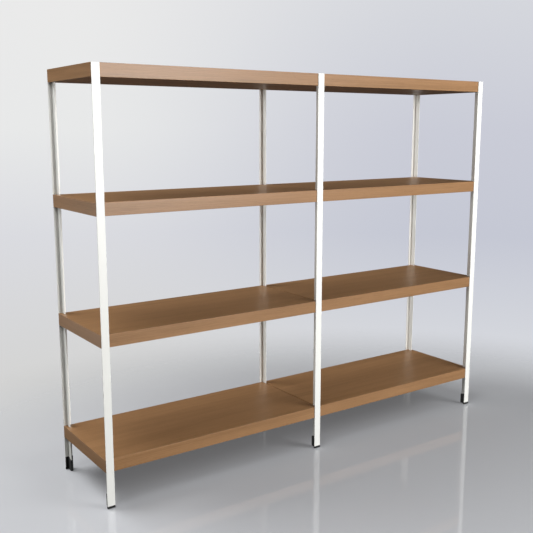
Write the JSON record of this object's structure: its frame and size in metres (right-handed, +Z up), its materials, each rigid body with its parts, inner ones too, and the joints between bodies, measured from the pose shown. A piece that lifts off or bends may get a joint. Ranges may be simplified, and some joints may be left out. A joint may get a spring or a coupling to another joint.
{
  "type": "shelving unit",
  "caption": "Free-standing open shelving with steel T-section uprights, thick wood-effect boards slotted over their webs, and plastic feet.",
  "frame": {"origin": "on the floor under the centre of the unit: the bottom centre of its box", "axes": "+X along the two bays, to the right seen from the front; -Y faces the front; +Z up"},
  "size_m": [2.094, 0.45, 1.701],
  "materials": {
    "upright_steel": "satin white powder coat",
    "foot_plastic": "fine moulded texture, black",
    "stud_steel": "bright zinc plate",
    "shelf_laminate": "semi-gloss wood-effect laminate, fine grain along the length"
  },
  "bodies": {
    "frame": {"upright_front_left": "upright_steel", "upright_front_middle": "upright_steel", "upright_front_right": "upright_steel", "upright_rear_left": "upright_steel", "upright_rear_middle": "upright_steel", "upright_rear_right": "upright_steel", "foot_front_left": "foot_plastic", "foot_front_middle": "foot_plastic", "foot_front_right": "foot_plastic", "foot_rear_left": "foot_plastic", "foot_rear_middle": "foot_plastic", "foot_rear_right": "foot_plastic", "shelf_studs_1": "stud_steel", "shelf_studs_2": "stud_steel", "shelf_studs_3": "stud_steel", "shelf_studs_4": "stud_steel"},
    "shelf_left_1": {"shelf_left_1": "shelf_laminate"},
    "shelf_left_2": {"shelf_left_2": "shelf_laminate"},
    "shelf_left_3": {"shelf_left_3": "shelf_laminate"},
    "shelf_left_4": {"shelf_left_4": "shelf_laminate"},
    "shelf_right_1": {"shelf_right_1": "shelf_laminate"},
    "shelf_right_2": {"shelf_right_2": "shelf_laminate"},
    "shelf_right_3": {"shelf_right_3": "shelf_laminate"},
    "shelf_right_4": {"shelf_right_4": "shelf_laminate"}
  },
  "joints": [
    {"name": "lift_left_1", "type": "slide", "parent": "frame", "child": "shelf_left_1", "axis": [0, 0, 1], "range_m": [0, 0.44]},
    {"name": "lift_left_2", "type": "slide", "parent": "frame", "child": "shelf_left_2", "axis": [0, 0, 1], "range_m": [0, 0.44]},
    {"name": "lift_left_3", "type": "slide", "parent": "frame", "child": "shelf_left_3", "axis": [0, 0, 1], "range_m": [0, 0.44]},
    {"name": "lift_left_4", "type": "slide", "parent": "frame", "child": "shelf_left_4", "axis": [0, 0, 1], "range_m": [0, 0.12]},
    {"name": "lift_right_1", "type": "slide", "parent": "frame", "child": "shelf_right_1", "axis": [0, 0, 1], "range_m": [0, 0.44]},
    {"name": "lift_right_2", "type": "slide", "parent": "frame", "child": "shelf_right_2", "axis": [0, 0, 1], "range_m": [0, 0.44]},
    {"name": "lift_right_3", "type": "slide", "parent": "frame", "child": "shelf_right_3", "axis": [0, 0, 1], "range_m": [0, 0.44]},
    {"name": "lift_right_4", "type": "slide", "parent": "frame", "child": "shelf_right_4", "axis": [0, 0, 1], "range_m": [0, 0.12]}
  ]
}
